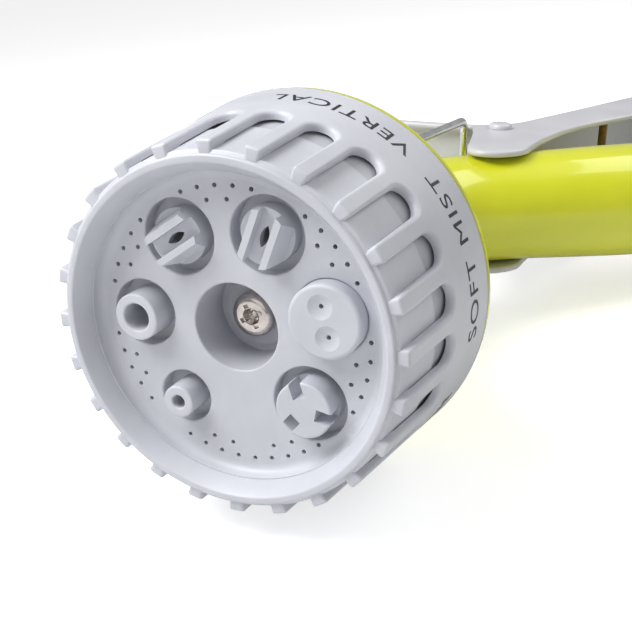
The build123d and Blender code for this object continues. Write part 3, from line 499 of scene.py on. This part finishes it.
def slot_columns():
    """Half a slot's edge as columns: x, z, inward normal (nx, nz), share along the rib front, and skeleton.

    The end arc is x = h cos(t), z = c + h sin(t) for t from -90 to 0, then a straight side up to a
    quarter-round corner, then the rib front. The skeleton runs from the slot's middle along the
    circle z = SKIRT_Z to the rib's middle and then up the rib.
    """
    around = cover_r(SKIRT_Z) * math.radians(HALF_PITCH)
    up = SLOT_ARC_Z - SKIRT_Z
    turn = around / (around + up)
    p = np.r_[np.linspace(0, turn, SKIRT_COLUMNS), np.linspace(turn, 1, 11)[1:]]
    t = np.radians(-90 + 90 * p)
    corner_x, corner_z = SLOT_HALF + RIB_CORNER, COVER_FRONT_Z - RIB_CORNER
    side_z = np.linspace(SLOT_ARC_Z, corner_z, 12)[1:]
    c = np.radians(np.linspace(180, 90, 7)[1:])
    f = np.linspace(0, 1, 4)[1:]
    zero, one = np.zeros_like, np.ones_like
    x = np.r_[SLOT_HALF * np.cos(t), SLOT_HALF * one(side_z),
              corner_x + RIB_CORNER * np.cos(c), corner_x * one(f)]
    z = np.r_[SLOT_ARC_Z + SLOT_HALF * np.sin(t), side_z,
              corner_z + RIB_CORNER * np.sin(c), COVER_FRONT_Z * one(f)]
    nx = np.r_[np.cos(t), one(side_z), -np.cos(c), zero(f)]
    nz = np.r_[np.sin(t), zero(side_z), -np.sin(c), -one(f)]
    share = np.r_[zero(t), zero(side_z), zero(c), f]
    along = p * (around + up)
    top = COVER_FRONT_Z - RIB_CREST_DROP
    bone_angle = np.r_[np.minimum(along / around, 1) * HALF_PITCH, (zero(x) + HALF_PITCH)[len(p):]]
    bone_z = np.r_[SKIRT_Z + np.maximum(along - around, 0), np.minimum(z[len(p):], top)]
    return x, z, nx, nz, share, bone_angle, bone_z


def slotted_cover():
    """Comb of ribs, closed behind by a skirt; rows run skeleton, rim, rounded edge, wall, inner skeleton.

    A rim point at depth d below the cone has radius R = cone(z) - d and angle
    (1 - f) asin(x / R) + f * half pitch, so slots keep parallel sides and ribs meet in the middle.
    The rounded edge is x + n r (1 - sin a), d = r (1 - cos a) for a from 0 to 90 degrees.
    """
    x, z, nx, nz, share, bone_angle, bone_z = slot_columns()
    blend = np.clip((z - SLOT_ARC_Z) / (COVER_FRONT_Z - SLOT_ARC_Z), 0, 1)
    round_r = ROUND_END + (ROUND_FRONT - ROUND_END) * blend

    def rim(offset, depth):
        rim_z = z + nz * offset
        r = cover_r(rim_z) - depth
        angle = (1 - share) * np.degrees(np.arcsin((x + nx * offset) / r)) + share * HALF_PITCH
        return np.stack([angle, r, rim_z], -1)

    bone = np.stack([bone_angle, cover_r(bone_z), bone_z], -1)
    edge = rim(round_r, 0.0)
    rows = []
    for share_out in (0.0, 0.3, 0.6, 0.85):
        row = bone + share_out * (edge - bone)
        row[:, 1] = cover_r(row[:, 2])
        rows.append(row)
    for a in np.radians(np.linspace(0, 90, 8)):
        rows.append(rim(round_r * (1 - np.sin(a)), round_r * (1 - np.cos(a))))
    for down in (0.5, 1.0):
        rows.append(rim(0.0 * x, round_r + down * (cover_r(z) - bore_r(z) - round_r)))
    inner = bone.copy()
    inner[:, 1] = bore_r(bone_z)
    rows.append(inner)
    half = np.array(rows)
    left = half[:, :0:-1] * [-1, 1, 1]
    period = np.concatenate([left, half[:, :-1]], 1)
    turned = [period + [SLOT_START + 2 * HALF_PITCH * k, 0, 0] for k in range(SLOT_COUNT)]
    comb = np.concatenate(turned, 1)
    comb_points = on_dial(comb[..., 0], comb[..., 1], comb[..., 2])

    inner_back = cover_r(COVER_BACK_Z) - WALL
    b = np.radians(np.linspace(0, 90, 7))
    profile = [(cover_r(h), h) for h in np.linspace(SKIRT_Z, COVER_BACK_Z + ROUND_BACK, 7)]
    profile += [
        (COVER_BACK_R - ROUND_BACK * (1 - math.cos(a)), COVER_BACK_Z + ROUND_BACK * (1 - math.sin(a)))
        for a in b
    ]
    profile += [(inner_back, COVER_BACK_Z), (bore_r(SKIRT_Z), SKIRT_Z)]
    profile = np.array(profile)
    ring = np.r_[-bone_angle[SKIRT_COLUMNS - 1:0:-1], bone_angle[:SKIRT_COLUMNS - 1]]
    ring = np.concatenate([ring + SLOT_START + 2 * HALF_PITCH * k for k in range(SLOT_COUNT)])
    skirt_points = turned_grid(ring, profile)

    faces = grid_faces(*comb_points.shape[:2], wrap_columns=True)
    skirt = grid_faces(*skirt_points.shape[:2], wrap_columns=True, start=comb_points[..., 0].size)
    points = np.concatenate([comb_points.reshape(-1, 3), skirt_points.reshape(-1, 3)])
    return make_piece("slotted_cover", points, np.concatenate([faces, skirt]), smooth_angle=50)


cover = dress(slotted_cover(), "dial", "grey_abs", GREY, "dial_cover")

# %% [markdown]
# The front lip is a thin bright ring inside the ribs. Its inner face slopes down to the nozzle
# plate, both top edges are rounded, and the slot floors run up to it in a small hollow curve.

# %% front lip
LIP_ROUND = 0.42
FLOOR_TO_LIP = [(0.38, 4.9), (0.15, 4.98), (0.03, 5.1)]
lip_profile = np.concatenate([
    [(floor_r(h), h) for h in (SLOPE_FOOT_Z, 3.4, 4.5, 4.72)],
    [(LIP_OUT + out, h) for out, h in FLOOR_TO_LIP],
    [(LIP_OUT, LIP_TOP_Z - LIP_ROUND)],
    arc((LIP_OUT - LIP_ROUND, LIP_TOP_Z - LIP_ROUND), LIP_ROUND, 0, 90, 7)[1:],
    arc((LIP_R + LIP_ROUND, LIP_TOP_Z - LIP_ROUND), LIP_ROUND, 90, 155, 6),
    [(SLOPE_FOOT_R, SLOPE_FOOT_Z + 0.12), (SLOPE_FOOT_R, SLOPE_FOOT_Z)],
])
dress(ring_piece("front_lip", lip_profile, 288), "dial", "grey_abs", GREY)

# %% [markdown]
# ## Trigger
# The trigger is a pressed or cast channel: a broad web behind, and two cheeks that reach forward
# past the handle to the rivet. Above the rivet it runs out into a short tail. Every corner of it
# is rolled, so it is built as one channel section that is carried between two side curves: the
# rear of the web and the front edge of the cheeks. Each station below is the drop and reach of
# the rear curve and of the front curve, in mm, from the tail's end to the lower end.

# %% trigger
LEVER_HALF_TOP, LEVER_HALF_END = 15.0, 17.0
LEVER_FLARE_FROM, LEVER_FLARE_TO = 45.0, 105.0
CHEEK, WEB, OUTER_ROUND, INNER_ROUND = 1.6, 2.2, 2.6, 1.1
AT_TIP = 2.0    # marks the points of the cheeks' round tips, whose depth is counted from the tip
LEVER_STATIONS = [
    (13.2, 43.0, 10.9, 39.4), (18.5, 39.4, 16.0, 35.6), (24.0, 35.8, 21.4, 31.7), (28.4, 32.9, 25.9, 28.9),
    (31.0, 31.3, 29.0, 26.6), (33.0, 30.4, 27.2, 21.5), (34.5, 30.0, 23.9, 14.0), (36.0, 29.8, 19.9, 5.8),
    (37.5, 29.75, 17.1, -0.6), (39.0, 29.8, 18.7, -4.9), (40.5, 30.1, 23.6, -6.5), (42.2, 30.6, 29.8, -4.7),
    (44.5, 31.4, 34.6, 0.6), (48.0, 33.2, 40.3, 6.8), (54.5, 36.8, 50.1, 15.6), (64.0, 42.0, 62.6, 23.0),
    (78.0, 49.8, 77.4, 29.0), (94.0, 58.6, 95.0, 38.5), (103.0, 62.4, 103.5, 43.8),
    (110.0, 64.0, 108.0, 46.8), (115.6, 62.8, 111.0, 49.2), (118.3, 59.0, 112.6, 50.8),
    (117.8, 54.6, 113.4, 51.9),
]


def smooth_curve(points, steps):
    """Catmull-Rom curve: between p1 and p2 it is half of 2 p1 + (p2 - p0) t + (2 p0 - 5 p1 + 4 p2 - p3) t^2
    + (3 p1 - p0 - 3 p2 + p3) t^3."""
    p = np.asarray(points, float)
    p = np.vstack([2 * p[0] - p[1], p, 2 * p[-1] - p[-2]])
    t = np.linspace(0, 1, steps, endpoint=False)[:, None]
    pieces = []
    for a, b, c, d in zip(p[:-3], p[1:-2], p[2:-1], p[3:]):
        square, cube = 2 * a - 5 * b + 4 * c - d, 3 * b - a - 3 * c + d
        pieces.append(0.5 * (2 * b + (c - a) * t + square * t**2 + cube * t**3))
    return np.vstack([*pieces, p[-2:-1]])


def channel_section():
    """Outer and inner rows of the channel: side share, inset, fixed depth q0, and share t of the free depth.

    A point lies at x = share * (half width - inset) and at depth q0 + t * (D - q0 - CHEEK / 2)
    from the web's rear face, where D is the whole depth at that station.
    """
    t = np.linspace(1, 0, 12)
    a = np.radians(np.linspace(0, 90, 8))[1:-1]
    flat = np.linspace(1, -1, 15)
    deep = WEB + INNER_ROUND
    side = [(1.0, 0.0, OUTER_ROUND, k) for k in t]
    side += [(1.0, OUTER_ROUND * (1 - math.cos(k)), OUTER_ROUND * (1 - math.sin(k)), 0.0) for k in a]
    inner = [(1.0, CHEEK, deep, k) for k in t]
    inner += [
        (1.0, CHEEK + INNER_ROUND * (1 - math.cos(k)), deep - INNER_ROUND * math.sin(k), 0.0) for k in a
    ]
    outer_row = side + [(k, OUTER_ROUND, 0.0, 0.0) for k in flat]
    outer_row += [(-m, i, q, k) for m, i, q, k in reversed(side)]
    inner_row = inner + [(k, CHEEK + INNER_ROUND, WEB, 0.0) for k in flat]
    inner_row += [(-m, i, q, k) for m, i, q, k in reversed(inner)]
    return np.array(outer_row), np.array(inner_row)


def trigger_surface():
    """Channel carried along the stations; cheek tips are half-round, and both ends are closed by a strip."""
    stations = smooth_curve(LEVER_STATIONS, 9)
    rear, front = stations[:, :2], stations[:, 2:]
    depth = np.linalg.norm(front - rear, axis=1)[:, None]
    direction = (front - rear) / depth
    outer, inner = channel_section()
    tip = np.radians(np.linspace(0, 180, 8))[1:-1]
    left_tip, right_tip = [
        [(m, CHEEK / 2 * (1 - math.cos(k)), CHEEK / 2 * math.sin(k), AT_TIP) for k in around]
        for m, around in ((-1.0, tip), (1.0, tip[::-1]))
    ]
    loop = np.vstack([outer, left_tip, inner[::-1], right_tip])
    share, inset, fixed, free = loop.T
    at_tip = free == AT_TIP
    q = np.where(at_tip, depth - CHEEK / 2 + fixed, fixed + free * (depth - fixed - CHEEK / 2))
    drop = rear[:, :1] + q * direction[:, :1]
    reach = rear[:, 1:] + q * direction[:, 1:]
    flare = np.clip((drop - LEVER_FLARE_FROM) / (LEVER_FLARE_TO - LEVER_FLARE_FROM), 0, 1)
    half = LEVER_HALF_TOP + (LEVER_HALF_END - LEVER_HALF_TOP) * flare
    points = side_place(drop, reach, share * (half - inset))
    rows, columns = drop.shape
    faces = [list(f) for f in grid_faces(rows, columns, wrap_columns=True)]
    n, m = len(outer), len(tip)
    for start in (0, (rows - 1) * columns):
        for i in range(n - 1):
            j = 2 * n + m - 1 - i
            faces.append([start + i, start + i + 1, start + j - 1, start + j])
        faces.append([start + k for k in range(n - 1, n + m + 1)])
        faces.append([start + k for k in (*range(2 * n + m - 1, columns), 0)])
    return make_piece("trigger_channel", points, faces, smooth_angle=50)


dress(trigger_surface(), "trigger", "lever_grey", LEVER_GREY, "trigger_lever")

# %% [markdown]
# ## Labels
# Each spray pattern has its name printed around the back of the cover, with the letters' tops
# towards the face. Print is a thin film, so each word is flat text wrapped on to the cone and
# lifted by a few hundredths of a millimetre. The words are plain names of the patterns.

# %% labels
LABEL_Z, LABEL_HIGH, LETTER_PITCH, FILM = -22.7, 3.5, 3.45, 0.05
LABELS = {0.0: "CENTER", 55.0: "JET", 97.5: "SHOWER", 140.0: "CONE", 195.0: "SOFT MIST", 250.0: "VERTICAL",
          305.0: "FLAT"}
LABEL_LEAD, FILM_SUNK = 2.8, 0.3
TEXT_EXTRUDE, LETTER_SPACING, LONGEST_EDGE = 0.01, 1.12, 0.2


def wrapped_word(word, angle):
    """Word on the cone: length u along the line becomes the angle u / R, and a letter's height a height z."""
    text = bpy.data.curves.new("label_text", "FONT")
    text.body, text.align_x, text.extrude, text.resolution_u = word, "CENTER", TEXT_EXTRUDE, 6
    text.space_character = LETTER_SPACING
    flat = bpy.data.objects.new("label_text", text)
    collection.objects.link(flat)
    bpy.context.view_layer.update()
    mesh = bpy.data.meshes.new_from_object(flat.evaluated_get(bpy.context.evaluated_depsgraph_get()))
    bpy.data.objects.remove(flat)
    built = bmesh.new()
    built.from_mesh(mesh)
    bmesh.ops.remove_doubles(built, verts=built.verts, dist=1e-5)
    bmesh.ops.triangulate(built, faces=built.faces)
    for _ in range(2):
        long_edges = [e for e in built.edges if e.calc_length() > LONGEST_EDGE]
        bmesh.ops.subdivide_edges(built, edges=long_edges, cuts=1)
        bmesh.ops.triangulate(built, faces=built.faces)
    flat_points = np.array([v.co for v in built.verts])
    faces = [[v.index for v in f.verts] for f in built.faces]
    built.free()
    bpy.data.meshes.remove(mesh)
    u, v, w = flat_points.T
    u *= LETTER_PITCH * (len(word) - 0.2) / np.ptp(u)
    v = (v - v.min()) * LABEL_HIGH / np.ptp(v)
    z = LABEL_Z + v
    r = cover_r(z) + FILM * (FILM_SUNK + w / (2 * TEXT_EXTRUDE))
    points = on_dial(angle + LABEL_LEAD + np.degrees(u / r), r, z)
    return make_piece("label_" + word.lower().replace(" ", "_"), points, faces)


for label_angle, label_word in LABELS.items():
    dress(wrapped_word(label_word, label_angle), "dial", None, PRINT)

# %% [markdown]
# ## Screw
# The dial is held by a plated pan-head screw with a cross recess, deep in the middle well. The
# head is a turned dome with the recess sunk into it, so it is a height over a round grid.

# %% screw head
_, head_radii, head_heights = dial_coordinates("dial_screw")
HEAD_R, HEAD_TOP_Z = head_radii.max(), head_heights.max()
HEAD_LOW_Z = head_heights[head_radii > 0.95 * HEAD_R].min()
ARM_HALF, ARM_REACH, ARM_DEPTH = 0.72, 2.5, 1.25
CENTRE_R, CENTRE_DEPTH, CROSS_TURN = 1.5, 1.9, 0.35
BASE_R_SHARE, BASE_BELOW = 0.98, 0.02


def soft_step(x, width):
    """Smooth step from 0 to 1 while x goes from 0 to width: 3 t^2 - 2 t^3."""
    t = np.clip(x / width, 0, 1)
    return t * t * (3 - 2 * t)


def screw_head():
    """Dome h = H (1 - (r/R)^3)^(1/2), less a cross whose arms slope down to a deeper round centre."""
    high = HEAD_TOP_Z - HEAD_LOW_Z
    turn = np.linspace(0, 2 * np.pi, 288, endpoint=False)[None, :]
    share = np.linspace(0, 1, 90)[:, None]
    r = HEAD_R * np.sin(share * np.pi / 2)
    x, y = r * np.cos(turn + CROSS_TURN), r * np.sin(turn + CROSS_TURN)
    narrow, wide = np.minimum(abs(x), abs(y)), np.maximum(abs(x), abs(y))
    dome = high * np.sqrt(1 - np.clip(r / HEAD_R, 0, 1) ** 3)
    arm = soft_step(ARM_HALF - narrow, 0.3) * soft_step(ARM_REACH - wide, 0.35) * (ARM_DEPTH - 0.3 * wide)
    middle = soft_step(CENTRE_R - r, 0.55) * (CENTRE_DEPTH - 0.35 * r)
    height = HEAD_LOW_Z + dome - np.maximum(arm, middle)
    top = on_dial(np.degrees(turn) + 0 * r, r + 0 * turn, height)
    base_r = np.array([[HEAD_R * BASE_R_SHARE], [0.0]])
    level = 0 * turn + 0 * base_r
    base = on_dial(np.degrees(turn) + 0 * base_r, base_r + 0 * turn, HEAD_LOW_Z - BASE_BELOW + level)
    points = np.concatenate([top, base])
    faces = grid_faces(len(points), turn.size, wrap_columns=True)
    return make_piece("screw_head", points, faces, smooth_angle=35)


dress(screw_head(), "handle", "screw_chrome", CHROME)
